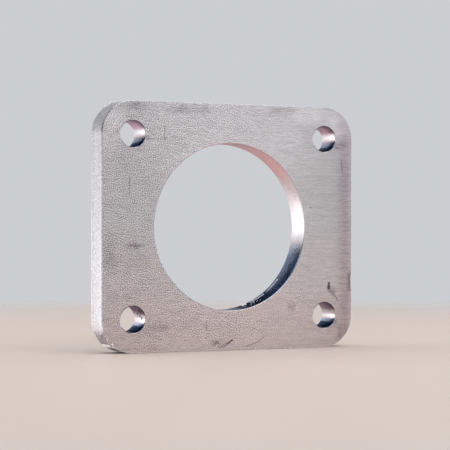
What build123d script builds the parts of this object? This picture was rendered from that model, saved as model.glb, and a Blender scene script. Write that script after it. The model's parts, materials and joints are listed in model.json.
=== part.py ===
# Laser cut steel flange: one flat plate with a large bore and four bolt holes
#
# The plate stands on its bottom edge, with the bore level.
# Origin: the centre of the bore, halfway through the plate.
# +Y runs along the bore from the front face to the back face, +X to the right, +Z up.

import os
from math import cos, degrees, radians, sin

from build123d import *

# Plate
plate_width = 102.0
plate_height = 90.0
plate_thickness = 10.0
corner_radius = 12.0
outline_break = 0.2  # rounding where the outline meets the two faces

# Bore
bore_diameter = 61.0
bore_break = 0.15  # chamfer at both rims

# Bolt holes, one near each corner
bolt_hole_diameter = 9.5
bolt_edge_distance = 12.0  # from a hole's centre to the two sides beside it
bolt_hole_break = 0.15

# Ridge on the lower left corner, where the cut round the outline closed on itself
ridge_angle = 227.0  # of its crest, about the corner's centre, from +X towards +Z
ridge_ramp_angle = 7.0  # how far before the crest its ramp begins
ridge_fall_angle = 7.5  # how far behind the crest it meets the wall again
ridge_height = 0.55
ridge_end_gap = 0.3  # bare wall left beside both faces

# Nib on the bore's wall, where the cut round the bore began and ended
nib_angle = 224.0
nib_height = 0.18
nib_width = 0.6
nib_end_gap = 0.3

# How deep the ridge and the nib are rooted in the plate
root_depth = 1.0

bolt_spacing_x = plate_width - 2 * bolt_edge_distance
bolt_spacing_z = plate_height - 2 * bolt_edge_distance
bore_radius = bore_diameter / 2
half_thickness = plate_thickness / 2

# This plane's normal points out of the front face, along -Y
front_plane = Plane.XZ.offset(half_thickness)
back_plane = Plane.XZ.offset(-half_thickness)


def on_circle(centre, radius, angle):
    """Point at an angle in degrees on a circle in the plane of the plate."""
    return centre + Vector(radius * cos(radians(angle)), radius * sin(radians(angle)))


with BuildPart() as flange:
    # Blank with four round corners
    with BuildSketch(back_plane):
        RectangleRounded(plate_width, plate_height, corner_radius)
    extrude(amount=plate_thickness)
    fillet(flange.edges().filter_by(Plane.XZ), radius=outline_break)

    # Bore
    with Locations(front_plane):
        Hole(radius=bore_radius)
    chamfer(flange.edges(Select.LAST).filter_by(GeomType.CIRCLE), length=bore_break)

    # Bolt holes
    with Locations(front_plane):
        with GridLocations(bolt_spacing_x, bolt_spacing_z, 2, 2):
            Hole(radius=bolt_hole_diameter / 2)
    chamfer(flange.edges(Select.LAST).filter_by(GeomType.CIRCLE), length=bolt_hole_break)

    # Ridge: a ramp that leaves the corner's arc, a sharp crest and a flat fall
    corner = Vector(corner_radius - plate_width / 2, corner_radius - plate_height / 2)
    ramp_angle = ridge_angle - ridge_ramp_angle
    ramp_foot = on_circle(corner, corner_radius, ramp_angle)
    ramp_top = on_circle(corner, corner_radius + ridge_height, ridge_angle)
    fall_foot = on_circle(corner, corner_radius, ridge_angle + ridge_fall_angle)
    ridge_root = on_circle(corner, corner_radius - root_depth, ridge_angle)
    with BuildSketch(back_plane.offset(ridge_end_gap)):
        with BuildLine():
            TangentArc(ramp_foot, ramp_top, tangent=on_circle(Vector(), 1, ramp_angle + 90))
            Polyline(ramp_top, fall_foot, ridge_root, ramp_foot)
        make_face()
    extrude(amount=plate_thickness - 2 * ridge_end_gap)

    # Nib: a small triangle that stands into the bore
    nib_half_angle = degrees(nib_width / 2 / bore_radius)
    with BuildSketch(back_plane.offset(nib_end_gap)):
        with BuildLine():
            Polyline(
                on_circle(Vector(), bore_radius, nib_angle - nib_half_angle),
                on_circle(Vector(), bore_radius - nib_height, nib_angle),
                on_circle(Vector(), bore_radius, nib_angle + nib_half_angle),
                on_circle(Vector(), bore_radius + root_depth, nib_angle),
                close=True,
            )
        make_face()
    extrude(amount=plate_thickness - 2 * nib_end_gap)

flange.part.label = "flange_plate"

os.makedirs("parts", exist_ok=True)
export_step(flange.part, "parts/flange_plate.step")
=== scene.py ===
"""Laser cut steel flange: the dressed plate, its studio and its camera.

Everything is in metres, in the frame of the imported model. The origin is the centre of the bore,
halfway through the plate. +X runs to the right, +Y from the front face to the back face, +Z up.
Marks and finishes give their sizes in millimetres and their angles in degrees.
"""

import json
import logging
import math
from dataclasses import dataclass, field
from enum import Enum
from typing import Any, Dict, Iterable, List, Mapping, Optional, Sequence, Tuple, Union

import bmesh
import bpy
from mathutils import Matrix, Vector


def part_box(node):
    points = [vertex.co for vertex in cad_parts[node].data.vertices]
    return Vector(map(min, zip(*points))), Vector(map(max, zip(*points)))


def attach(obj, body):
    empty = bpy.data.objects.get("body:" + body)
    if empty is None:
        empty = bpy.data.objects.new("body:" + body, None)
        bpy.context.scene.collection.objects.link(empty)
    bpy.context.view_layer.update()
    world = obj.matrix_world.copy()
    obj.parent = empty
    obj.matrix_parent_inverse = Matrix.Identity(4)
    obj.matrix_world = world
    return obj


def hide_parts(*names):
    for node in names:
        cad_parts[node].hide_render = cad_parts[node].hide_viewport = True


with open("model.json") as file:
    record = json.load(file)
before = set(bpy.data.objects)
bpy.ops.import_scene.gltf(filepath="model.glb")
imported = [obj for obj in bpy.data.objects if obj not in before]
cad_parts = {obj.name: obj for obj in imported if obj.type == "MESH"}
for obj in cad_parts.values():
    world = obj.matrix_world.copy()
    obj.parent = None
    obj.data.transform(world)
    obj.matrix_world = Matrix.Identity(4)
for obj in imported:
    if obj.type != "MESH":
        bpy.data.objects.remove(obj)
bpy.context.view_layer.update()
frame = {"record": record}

LOG = logging.getLogger("flange")
MM = 0.001
TO_MM = 1000.0
BODY = "root"
PLATE_NODE = "flange_plate"

Triple = Tuple[float, float, float]
Pair = Tuple[float, float]
Operand = Union["Field", float, Sequence[float]]
Stroke = Tuple[Tuple[Pair, ...], float, float]  # points, width, strength
Patch = Tuple[Pair, Pair, float]  # centre, reach, strength

WHITE: Triple = (1.0, 1.0, 1.0)
WARM: Triple = (1.0, 0.85, 0.8)
ORIGIN: Triple = (0.0, 0.0, 0.0)
LOWER_LEFT: Pair = (-39.0, -33.0)  # centres of bolt holes and of the plate's round corners, in mm
LOWER_RIGHT: Pair = (39.0, -33.0)
UPPER_LEFT: Pair = (-39.0, 33.0)
BORE: Pair = (0.0, 0.0)
BORE_RADIUS = 30.5  # in mm
HOLE_RADIUS = 4.75


class Field:
    """A number or a vector that a node gives, with the usual arithmetic."""

    def __init__(self, graph: "Graph", socket: bpy.types.NodeSocket) -> None:
        """Keep the graph, which makes further nodes, and the socket."""
        self.graph = graph
        self.socket = socket

    def __add__(self, other: Operand) -> "Field":
        """Sum."""
        return self.graph.combine("ADD", self, other)

    def __sub__(self, other: Operand) -> "Field":
        """Difference."""
        return self.graph.combine("SUBTRACT", self, other)

    def __rsub__(self, other: Operand) -> "Field":
        """Difference from a plain number or vector."""
        return self.graph.combine("SUBTRACT", other, self)

    def __mul__(self, other: Operand) -> "Field":
        """Product, with a vector times a number as well."""
        return self.graph.combine("MULTIPLY", self, other)

    def __truediv__(self, other: Operand) -> "Field":
        """Quotient."""
        return self.graph.combine("DIVIDE", self, other)

    __radd__ = __add__
    __rmul__ = __mul__

    @property
    def is_vector(self) -> bool:
        """Whether the socket gives a vector or a colour."""
        return self.socket.type in ("VECTOR", "RGBA")

    def split(self) -> Tuple["Field", "Field", "Field"]:
        """The three numbers of a vector."""
        node = self.graph.add("ShaderNodeSeparateXYZ", {0: self})
        return tuple(Field(self.graph, output) for output in node.outputs)

    def length(self) -> "Field":
        """The length of a vector."""
        return self.graph.vector("LENGTH", self, output=1)

    def distance(self, place: Operand) -> "Field":
        """How far a place is from another."""
        return self.graph.vector("DISTANCE", self, place, 1)

    def dot(self, other: Operand) -> "Field":
        """The dot product with another vector."""
        return self.graph.vector("DOT_PRODUCT", self, other, 1)

    def ramp(self, low: Operand, high: Operand, to_low: Operand = 0.0, to_high: Operand = 1.0,
             smooth: bool = True) -> "Field":
        """Map a number from one range to another, held at both ends.

        Args:
            low: where the range starts.
            high: where it ends.
            to_low: the result at its start.
            to_high: the result at its end.
            smooth: eased at both ends, or straight.

        Returns:
            The mapped number.
        """
        inputs = {0: self, 1: low, 2: high, 3: to_low, 4: to_high}
        kind = "SMOOTHSTEP" if smooth else "LINEAR"
        return self.graph.make("ShaderNodeMapRange", inputs, interpolation_type=kind, clamp=True)

    def fall(self, low: Operand, high: Operand, top: Operand = 1.0) -> "Field":
        """The top value up to low, easing to nought at high."""
        return self.ramp(low, high, top, 0.0)

    def window(self, low: float, high: float, soft: float) -> "Field":
        """One between low and high, falling to nought over the soft width outside them."""
        return self.ramp(low - soft, low) * self.fall(high, high + soft)

    def noise(self, detail: float = 2.0, roughness: float = 0.5) -> "Field":
        """Smooth noise from nought to one at a place, with features about one unit wide."""
        inputs = {"Vector": self, "Scale": 1.0, "Detail": detail, "Roughness": roughness}
        return self.graph.make("ShaderNodeTexNoise", inputs)

    def specks(self, detail: float = 2.0) -> "Field":
        """Noise from minus a half to a half, with clear dark and light specks."""
        return self.noise(detail).ramp(0.32, 0.68, -0.5, 0.5)

    def mix(self, a: Operand, b: Operand) -> "Field":
        """A colour between two colours, the second where this number is one.

        Args:
            a: the colour where this number is nought.
            b: the colour where it is one.

        Returns:
            The colour.
        """
        node = self.graph.add("ShaderNodeMix", data_type="RGBA", clamp_factor=True)
        by_name = {socket.identifier: socket for socket in node.inputs}
        self.graph.feed(by_name["Factor_Float"], self)
        for key, value in (("A_Color", a), ("B_Color", b)):
            self.graph.feed(by_name[key], (*value, 1.0) if isinstance(value, tuple) else value)
        return Field(self.graph, next(s for s in node.outputs if s.identifier == "Result_Color"))


class Graph:
    """Adds nodes to a node tree, each with its inputs set or linked."""

    COLUMN_LENGTH = 10
    SPACING = 190.0

    def __init__(self, tree: bpy.types.NodeTree) -> None:
        """Keep the tree to build in."""
        self.tree = tree

    def add(self, kind: str, inputs: Optional[Mapping[Any, Any]] = None, **settings: Any) -> bpy.types.Node:
        """Add one node.

        Args:
            kind: Blender's name for the node's type.
            inputs: what each input gets, by its name or index.
            settings: the node's own options.

        Returns:
            The new node.
        """
        node = self.tree.nodes.new(kind)
        column, row = divmod(len(self.tree.nodes), self.COLUMN_LENGTH)
        node.location = (column * self.SPACING, -row * self.SPACING)
        for name, value in settings.items():
            setattr(node, name, value)
        for key, value in (inputs or {}).items():
            self.feed(node.inputs[key], value)
        return node

    def make(self, kind: str, inputs: Optional[Mapping[Any, Any]] = None, output: Union[int, str] = 0,
             **settings: Any) -> Field:
        """Add one node and give one of its outputs, the first unless it is named."""
        return Field(self, self.add(kind, inputs, **settings).outputs[output])

    def feed(self, socket: bpy.types.NodeSocket, value: Any) -> None:
        """Link a field or a socket to an input, or set the input to a plain value.

        Args:
            socket: the input.
            value: the field, the socket or the plain value.
        """
        if isinstance(value, Field):
            value = value.socket
        if isinstance(value, bpy.types.NodeSocket):
            self.tree.links.new(value, socket)
        else:
            socket.default_value = value

    def combine(self, operation: str, a: Operand, b: Operand) -> Field:
        """Join two numbers or vectors with one operation.

        Args:
            operation: ADD, SUBTRACT, MULTIPLY or DIVIDE.
            a: the first operand.
            b: the second operand.

        Returns:
            The result, a vector where either operand is one.
        """
        shapes = [x.is_vector if isinstance(x, Field) else hasattr(x, "__len__") for x in (a, b)]
        if not any(shapes):
            return self.math(operation, a, b)
        if all(shapes):
            return self.vector(operation, a, b)
        amount, vector = (b, a) if shapes[0] else (a, b)
        if operation == "DIVIDE":
            amount = self.math("DIVIDE", 1.0, amount) if isinstance(amount, Field) else 1.0 / amount
        elif operation != "MULTIPLY":
            raise ValueError("a vector and a number only multiply or divide")
        return self.make("ShaderNodeVectorMath", {0: vector, "Scale": amount}, operation="SCALE")

    def math(self, operation: str, a: Operand, b: Operand = 0.0, c: Operand = 0.0) -> Field:
        """Blender's Math node on up to three numbers."""
        return self.make("ShaderNodeMath", {0: a, 1: b, 2: c}, operation=operation)

    def vector(self, operation: str, a: Operand, b: Operand = ORIGIN, output: int = 0) -> Field:
        """Blender's Vector Math node; output 1 is its number."""
        return self.make("ShaderNodeVectorMath", {0: a, 1: b}, output, operation=operation)

    def xyz(self, x: Operand = 0.0, y: Operand = 0.0, z: Operand = 0.0) -> Field:
        """A vector from three numbers."""
        return self.make("ShaderNodeCombineXYZ", {0: x, 1: y, 2: z})

    def angle(self, x: Operand, y: Operand) -> Field:
        """The angle of a direction in degrees."""
        return self.math("DEGREES", self.math("ARCTAN2", y, x))


class SocketKind(Enum):
    """Blender's types for the inputs and outputs of a node group."""

    GEOMETRY = "NodeSocketGeometry"
    NUMBER = "NodeSocketFloat"
    COUNT = "NodeSocketInt"
    VECTOR = "NodeSocketVector"
    MATERIAL = "NodeSocketMaterial"

    @classmethod
    def of(cls, values: Mapping[str, Any]) -> Dict[str, "SocketKind"]:
        """The kind that suits each named value."""
        kinds = {float: cls.NUMBER, int: cls.COUNT, bpy.types.Material: cls.MATERIAL}
        return {name: kinds[type(value)] for name, value in values.items()}


class GroupGraph(Graph):
    """A node group with named inputs and outputs."""

    def __init__(self, name: str, inputs: Mapping[str, SocketKind], outputs: Mapping[str, SocketKind],
                 tree_type: str = "GeometryNodeTree") -> None:
        """Make the group and its sockets.

        Args:
            name: the group's name.
            inputs: the kind of each named input.
            outputs: the kind of each named output.
            tree_type: geometry or shader.
        """
        super().__init__(bpy.data.node_groups.new(name, tree_type))
        for direction, sockets in (("INPUT", inputs), ("OUTPUT", outputs)):
            for label, kind in sockets.items():
                self.tree.interface.new_socket(label, in_out=direction, socket_type=kind.value)
        self.source = self.tree.nodes.new("NodeGroupInput")
        self.sink = self.tree.nodes.new("NodeGroupOutput")

    def given(self, *names: str) -> Any:
        """One of the group's inputs, or several in a row."""
        fields = [Field(self, self.source.outputs[name]) for name in names]
        return fields if len(fields) > 1 else fields[0]

    def give(self, name: str, value: Any) -> bpy.types.NodeTree:
        """Send a value out of the group, which is then complete."""
        self.feed(self.sink.inputs[name], value)
        return self.tree

    def attribute(self, name: str, kind: str = "FLOAT") -> Field:
        """A named attribute of the mesh that is being made."""
        return self.make("GeometryNodeInputNamedAttribute", {"Name": name}, data_type=kind)

    def store(self, geometry: Any, name: str, value: Operand, kind: str = "FLOAT",
              domain: str = "POINT") -> Field:
        """Keep a value on the mesh as a named attribute.

        Args:
            geometry: the mesh.
            name: the attribute's name.
            value: what to keep.
            kind: FLOAT or FLOAT_VECTOR.
            domain: POINT or FACE.

        Returns:
            The mesh with the attribute.
        """
        inputs = {"Geometry": geometry, "Name": name}
        node = self.add("GeometryNodeStoreNamedAttribute", inputs, data_type=kind, domain=domain)
        self.feed(next(s for s in node.inputs if s.name == "Value" and s.enabled), value)
        return Field(self, node.outputs[0])

    def position(self) -> Field:
        """Where a point of the mesh is."""
        return self.make("GeometryNodeInputPosition")

    def join(self, parts: Iterable[Any]) -> Field:
        """Put several geometries together.

        Args:
            parts: the geometries.

        Returns:
            One geometry.
        """
        node = self.add("GeometryNodeJoinGeometry")
        for part in parts:
            self.feed(node.inputs[0], part)
        return Field(self, node.outputs[0])

    def realize(self, geometry: Any) -> Field:
        """Real mesh in place of instances."""
        return self.make("GeometryNodeRealizeInstances", {"Geometry": geometry})

    def smooth(self, geometry: Any, on: bool = True) -> Field:
        """Smooth or flat shading."""
        return self.make("GeometryNodeSetShadeSmooth", {"Geometry": geometry, "Shade Smooth": on})

    def move(self, geometry: Any, offset: Operand) -> Field:
        """Shift each point of a mesh by its own offset."""
        return self.make("GeometryNodeSetPosition", {"Geometry": geometry, "Offset": offset})

    def stand(self, geometry: Any) -> Field:
        """Turn what was built with its front face at the top, so that it faces the front."""
        inputs = {"Geometry": geometry, "Rotation": (math.pi / 2, 0.0, 0.0)}
        return self.make("GeometryNodeTransform", inputs)

    def paint(self, geometry: Any, material: Any, selection: Any = True) -> Field:
        """Set a material on the selected faces."""
        inputs = {"Geometry": geometry, "Selection": selection, "Material": material}
        return self.make("GeometryNodeSetMaterial", inputs)

    def compare(self, operation: str, a: Operand, b: Operand) -> Field:
        """True where a stands so to b."""
        return self.make("FunctionNodeCompare", {"A": a, "B": b}, data_type="FLOAT", operation=operation)


def grown_mesh(name: str, group: GroupGraph, values: Mapping[str, Any]) -> bpy.types.Object:
    """Run a geometry tree once and keep its result as a plain mesh that rides the root body.

    Args:
        name: the name of the piece.
        group: the tree.
        values: what each named input gets.

    Returns:
        The piece, with closed and outward faces and no modifier.
    """
    piece = bpy.data.objects.new(name, bpy.data.meshes.new(name))
    bpy.context.scene.collection.objects.link(piece)
    modifier = piece.modifiers.new("grow", "NODES")
    modifier.node_group = group.tree
    for item in group.tree.interface.items_tree:
        if item.in_out == "INPUT":
            modifier[item.identifier] = values[item.name]
    evaluated = piece.evaluated_get(bpy.context.evaluated_depsgraph_get())
    mesh = bpy.data.meshes.new_from_object(evaluated)
    piece.modifiers.remove(modifier)
    blank = piece.data
    piece.data = mesh
    bpy.data.meshes.remove(blank)
    mesh.name = name
    drop_empty_slots(mesh)
    kept = {"position", "sharp_face", "material_index"}
    for attribute in [a.name for a in mesh.attributes if not a.name.startswith(".")]:
        if attribute not in kept:
            mesh.attributes.remove(mesh.attributes[attribute])
    turn_outwards(mesh)
    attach(piece, BODY)
    return piece


def drop_empty_slots(mesh: bpy.types.Mesh) -> None:
    """Remove the material slots that hold nothing, and renumber the faces to match.

    Args:
        mesh: the mesh, which is changed.
    """
    used = [slot for slot, material in enumerate(mesh.materials) if material]
    materials = [mesh.materials[slot] for slot in used]
    numbers = [used.index(face.material_index) for face in mesh.polygons]
    mesh.materials.clear()
    for material in materials:
        mesh.materials.append(material)
    mesh.polygons.foreach_set("material_index", numbers)


def turn_outwards(mesh: bpy.types.Mesh) -> None:
    """Point every face of a closed mesh outwards, and report open edges.

    Args:
        mesh: the mesh, which is changed.
    """
    shell = bmesh.new()
    shell.from_mesh(mesh)
    bmesh.ops.recalc_face_normals(shell, faces=shell.faces)
    if shell.calc_volume(signed=True) < 0:
        bmesh.ops.reverse_faces(shell, faces=shell.faces)
    loose = sum(1 for edge in shell.edges if not edge.is_manifold)
    shell.to_mesh(mesh)
    shell.free()
    LOG.info("%s: %d faces, %d open edges", mesh.name, len(mesh.polygons), loose)


def new_material(name: str) -> Tuple[bpy.types.Material, Graph, bpy.types.Node]:
    """Start a material with one Principled shader.

    Args:
        name: the material's name.

    Returns:
        The material, its graph and the shader.
    """
    material = bpy.data.materials.new(name)
    material.use_nodes = True
    shader = next(n for n in material.node_tree.nodes if n.type == "BSDF_PRINCIPLED")
    return material, Graph(material.node_tree), shader


def place_in_mm(graph: Graph) -> Field:
    """Object coordinates in millimetres."""
    return graph.make("ShaderNodeTexCoord", output="Object") * TO_MM


def coat(shader: bpy.types.Node, colour: Field, rough: Field, relief: Field) -> None:
    """Make a shader a metal.

    Args:
        shader: the material's Principled shader.
        colour: its colour.
        rough: its roughness.
        relief: the height of its surface in mm.
    """
    bump = colour.graph.make("ShaderNodeBump", {"Height": relief, "Distance": MM, "Strength": 1.0})
    values = {"Base Color": colour, "Roughness": rough, "Normal": bump, "Metallic": 1.0}
    for name, value in values.items():
        colour.graph.feed(shader.inputs[name], value)


@dataclass(frozen=True)
class HandlingMarks:
    """The scratches, pits and stains that handling left on the front face."""

    strokes: Tuple[Stroke, ...] = (
        (((41.05, -21.0), (40.98, -22.1)), 0.76, 0.93),
        (((40.98, -22.1), (40.9, -22.9)), 0.92, 1.0),
        (((41.0, -23.1), (41.8, -24.2), (43.1, -25.3)), 0.66, 0.34),
        (((43.1, -25.3), (44.2, -26.3), (44.8, -27.6)), 0.5, 0.36),
        (((-1.7, -42.7), (-0.9, -42.2), (0.5, -41.3)), 0.44, 0.95),
        (((-4.6, -44.0), (-3.0, -43.4), (-1.7, -42.7)), 0.32, 0.65),
        (((6.7, -43.5), (10.4, -42.5), (13.4, -40.7)), 0.26, 0.5),
        (((-26.7, 35.9), (-26.7, 31.3)), 0.26, 0.48),
        (((-40.4, 17.8), (-40.4, 11.1)), 0.26, 0.5),
        (((-10.1, -34.3), (-10.0, -37.6)), 0.26, 0.55),
        (((-33.8, 31.4), (-26.0, 31.6)), 0.26, 0.32),
        (((50.1, -17.8), (50.2, -20.4), (50.1, -23.0)), 1.6, 0.45),
        (((46.4, 25.2), (46.9, 20.8)), 0.36, 0.45),
        (((10.6, -34.5), (13.4, -34.9)), 0.24, 0.5),
        (((-50.8, 28.2), (-43.0, 28.2)), 0.22, -0.3),
    )
    pits: Tuple[Tuple[Pair, float, float], ...] = (
        ((43.1, -25.3), 0.5, 0.8),
        ((9.4, -37.3), 0.32, 0.8),
        ((8.3, -39.6), 0.3, 0.7),
        ((-10.2, -40.3), 0.34, 0.9),
        ((-1.2, -36.8), 0.26, 0.5),
        ((33.1, 7.3), 0.34, 0.8),
        ((-45.6, -42.0), 0.2, 0.5),
        ((-13.6, 37.3), 0.3, 0.6),
    )
    smudges: Tuple[Patch, ...] = (
        ((-6.4, -42.2), (2.4, 1.4), 0.75),
        ((-3.4, -42.9), (3.0, 1.1), 0.65),
        ((-38.5, -6.8), (4.6, 1.6), 0.7),
        ((-36.0, -11.5), (6.5, 2.2), 0.2),
        ((-48.0, -11.0), (2.4, 4.5), 0.25),
        ((-29.0, -36.1), (6.5, 2.1), 0.4),
        ((-31.5, -43.4), (3.5, 1.4), 0.15),
        ((-37.4, 42.8), (5.0, 2.0), 0.36),
        ((-10.4, 42.2), (4.5, 2.0), 0.3),
        ((-21.0, 42.2), (7.0, 1.8), 0.35),
        ((45.2, 30.6), (3.6, 1.7), 0.65),
        ((42.6, -24.9), (1.7, 1.4), 0.4),
        ((19.0, 43.0), (3.4, 1.5), 0.28),
        ((25.2, 43.0), (3.4, 1.5), 0.28),
        ((-33.2, 31.7), (1.3, 1.3), 0.45),
        ((25.0, -29.5), (2.2, 2.6), 0.5),
        ((43.9, -35.7), (1.2, 1.8), 0.5),
        ((45.8, -39.5), (1.5, 4.5), 0.4),
    )
    front: Pair = (-4.0, -3.0)
    wobble: float = 0.25
    wobble_size: Triple = (1.1, 50.0, 1.1)
    cloud_size: Triple = (1.6, 50.0, 0.7)
    pit_rim: float = 1.4

    def masks(self, place: Field) -> Tuple[Field, Field]:
        """Draw the marks.

        Args:
            place: Object coordinates in mm.

        Returns:
            How dark the marks are, and how deep the scratches and pits are, from nought to one.
        """
        graph = place.graph
        x, y, z = place.split()
        front = y.fall(*self.front)
        wobble = ((place / self.wobble_size).noise(2.0) - 0.5) * self.wobble
        flat = graph.xyz(x + wobble, 0.0, z + wobble)
        group = self.stroke_group()
        dark: Operand = 0.0
        for path, width, strength in self.strokes:
            for start, end in zip(path, path[1:]):
                ends = {"Start": (start[0], 0.0, start[1]), "End": (end[0], 0.0, end[1])}
                inputs = {"Place": flat, "Width": width, **ends}
                line = graph.make("ShaderNodeGroup", inputs, node_tree=group)
                dark = graph.math("MAXIMUM" if strength > 0 else "ADD", dark, line * strength)
        for centre, radius, strength in self.pits:
            away = flat.distance((centre[0], 0.0, centre[1]))
            dark = graph.math("MAXIMUM", dark, away.fall(0.0, radius * self.pit_rim, strength))
        deep = dark * front
        cloud = (place / self.cloud_size).noise(4.0, 0.65).ramp(0.36, 0.6)
        for centre, reach, strength in self.smudges:
            scaled = (flat - (centre[0], 0.0, centre[1])) / (reach[0], 1.0, reach[1])
            dark = graph.math("MAXIMUM", dark, scaled.length().fall(0.2, 1.15, strength) * cloud)
        return dark * front, deep

    @staticmethod
    def stroke_group() -> bpy.types.NodeTree:
        """Make a group that gives one on a line from Start to End, and nought beyond its width.

        Returns:
            The group's tree.
        """
        inputs = {key: SocketKind.VECTOR for key in ("Place", "Start", "End")}
        inputs["Width"] = SocketKind.NUMBER
        group = GroupGraph("one_stroke", inputs, {"Mask": SocketKind.NUMBER}, "ShaderNodeTree")
        place, start, end, width = group.given(*inputs)
        run, away = end - start, place - start
        share = (away.dot(run) / run.dot(run)).ramp(0.0, 1.0, smooth=False)
        return group.give("Mask", (away - run * share).length().fall(width * 0.25, width))


@dataclass(frozen=True)
class FaceFinish:
    """Mill finish of the two flat faces: speckled on the left, with a level grain on the right."""

    name: str = "mill_finish_steel"
    tone: Triple = (0.50, 0.48, 0.492)
    warm_tone: Triple = (0.588, 0.495, 0.488)
    mark_tone: Triple = (0.115, 0.08, 0.10)
    border_tone: Triple = (1.03, 0.955, 0.985)
    border: Pair = (2.4, 9.0)
    roughness: float = 0.44
    coarse: Pair = (-8.0, 36.0)
    coarse_drift: float = 40.0
    upper: Pair = (14.0, 30.0)
    upper_drift: float = 14.0
    upper_span: Triple = (-26.0, 24.0, 14.0)
    upper_gain: float = 0.1
    speckle: float = 0.95
    fine_speckle: float = 0.27
    speck_size: float = 0.4
    speck_turn: float = 27.0
    speck_gap: float = 0.42
    speck_contrast: float = 0.22
    dash: float = 0.15
    dash_gain: float = 0.1
    dash_size: Triple = (1.6, 9.0, 0.15)
    mottle: float = 0.12
    mottle_size: Triple = (2.4, 9.0, 0.55)
    grain: float = 0.13
    grain_size: Triple = (6.0, 9.0, 0.42)
    cloud: float = 0.24
    cloud_size: Triple = (16.0, 30.0, 9.0)
    edges: Tuple[Triple, ...] = ((4.2, 11.0, 0.08), (2.8, 7.2, 0.14), (0.8, 2.6, -0.13))
    sides: Tuple[Pair, ...] = ((15.0, 45.0), (-12.0, -40.0))
    side_loss: float = 0.1
    warm_levels: Pair = (-0.13, 0.69)  # as shares of the plate's height
    warm_slope: float = 0.03
    warm_drift: float = 22.0
    speckle_rough: float = 0.08
    cloud_rough: float = 0.12
    mark_rough: float = 0.2
    speckle_relief: float = 0.003
    line_relief: float = 0.002
    mark_relief: float = 0.02
    rubbed: Tuple[Patch, ...] = (
        ((-19.0, -43.0), (12.0, 4.0), 0.6),
        ((-48.0, -29.0), (4.5, 12.0), 0.35),
        ((-44.0, -42.0), (10.0, 9.0), 0.4),
        ((-40.0, 43.0), (6.0, 2.6), 0.4),
        ((28.0, -27.0), (9.0, 13.0), -1.0),
        ((33.0, 38.0), (14.0, 9.0), -0.35),
    )
    patches: Tuple[Patch, ...] = (
        ((33.0, 42.5), (10.0, 6.0), 0.17),
        ((-48.0, 31.0), (5.0, 7.0), 0.12),
        ((-23.0, 30.0), (7.0, 5.0), -0.08),
        ((-48.0, -10.0), (4.0, 8.0), -0.09),
        ((-16.0, -36.0), (7.0, 4.0), -0.07),
        ((-23.0, -43.0), (8.0, 3.0), 0.08),
        ((-16.0, 42.5), (9.0, 4.0), -0.08),
        ((20.0, 42.5), (8.0, 3.0), -0.08),
        ((40.0, -21.0), (12.0, 7.0), 0.06),
        ((42.2, -23.5), (2.8, 1.9), -0.22),
        ((45.5, 38.5), (6.5, 6.5), 0.26),
        ((-46.0, 38.5), (5.5, 5.0), 0.2),
        ((39.0, 41.0), (8.0, 5.0), 0.07),
    )
    marks: HandlingMarks = field(default_factory=HandlingMarks)

    def material(self, width: float, height: float) -> bpy.types.Material:
        """Make the material.

        Args:
            width: the plate's width in mm.
            height: its height in mm.

        Returns:
            The material of both faces.
        """
        material, graph, shader = new_material(self.name)
        place = place_in_mm(graph)
        x, _, z = place.split()
        speckle = self.specks(place)
        dashes = (place / self.dash_size + (40.0, 0.0, 7.0)).specks()
        grain = (place / self.grain_size + (11.0, 3.0, 5.0)).specks()
        mottle = (place / self.mottle_size + (21.0, 0.0, 13.0)).specks()
        cloud = (place / self.cloud_size + (3.0, 1.0, 8.0)).noise(3.0, 0.55) - 0.5
        coarse = (x + cloud * self.coarse_drift).fall(*self.coarse)
        upper = (z + cloud * self.upper_drift).ramp(*self.upper) * x.window(*self.upper_span)
        calm: Operand = 1.0
        for centre, reach, loss in self.rubbed:
            calm = calm * (1.0 - self.near(x, z, centre, reach) * loss)
        shade = speckle * (coarse.ramp(0.0, 1.0, self.fine_speckle, 1.0) * self.speckle) * calm
        shade = shade + dashes * ((upper + coarse) * self.dash_gain + self.dash)
        shade = shade + grain * (coarse.ramp(0.0, 1.0, 1.0, 0.25) * self.grain)
        shade = shade + mottle * (coarse + 0.2) * self.mottle
        shade = shade + cloud * self.cloud + upper * self.upper_gain
        inset = width / 2 - x
        for low, high, loss in self.edges:
            shade = shade - inset.fall(low, high, loss)
        for side in self.sides:
            shade = shade - x.ramp(*side) * self.side_loss
        for centre, reach, gain in self.patches:
            shade = shade + self.near(x, z, centre, reach) * gain
        low, high = (height * share for share in self.warm_levels)
        warmth = (x * self.warm_slope - z + cloud * self.warm_drift).ramp(low, high)
        colour = warmth.mix(self.tone, self.warm_tone) * (shade + 1.0)
        colour = colour * inset.fall(*self.border).mix(WHITE, self.border_tone)
        dark, deep = self.marks.masks(place)
        rough = speckle * self.speckle_rough + cloud * self.cloud_rough + deep * self.mark_rough
        rough = rough + self.roughness
        relief = speckle * self.speckle_relief + (dashes + grain) * self.line_relief
        relief = relief - deep * self.mark_relief
        coat(shader, dark.mix(colour, self.mark_tone), rough, relief)
        return material

    def specks(self, place: Field) -> Field:
        """Fine specks about nought, each dark one with light all round it.

        Args:
            place: Object coordinates in mm.

        Returns:
            The specks.
        """
        x, _, z = place.split()
        turn, gap = math.radians(self.speck_turn), self.speck_gap
        cosine, sine = math.cos(turn), math.sin(turn)
        turned = place.graph.xyz(x * cosine + z * sine, 0.0, z * cosine - x * sine)
        middle, above, below, left, right = (
            ((turned + shift) / self.speck_size).specks(1.0)
            for shift in (ORIGIN, (0.0, 0.0, gap), (0.0, 0.0, -gap), (gap, 0.0, 0.0), (-gap, 0.0, 0.0))
        )
        return middle - (above + below + left + right) * self.speck_contrast

    @staticmethod
    def near(x: Field, z: Field, centre: Pair, reach: Pair) -> Field:
        """One round a centre, and nought beyond its reach."""
        scaled = x.graph.xyz((x - centre[0]) / reach[0], (z - centre[1]) / reach[1])
        return scaled.length().fall(0.3, 1.1)


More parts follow.
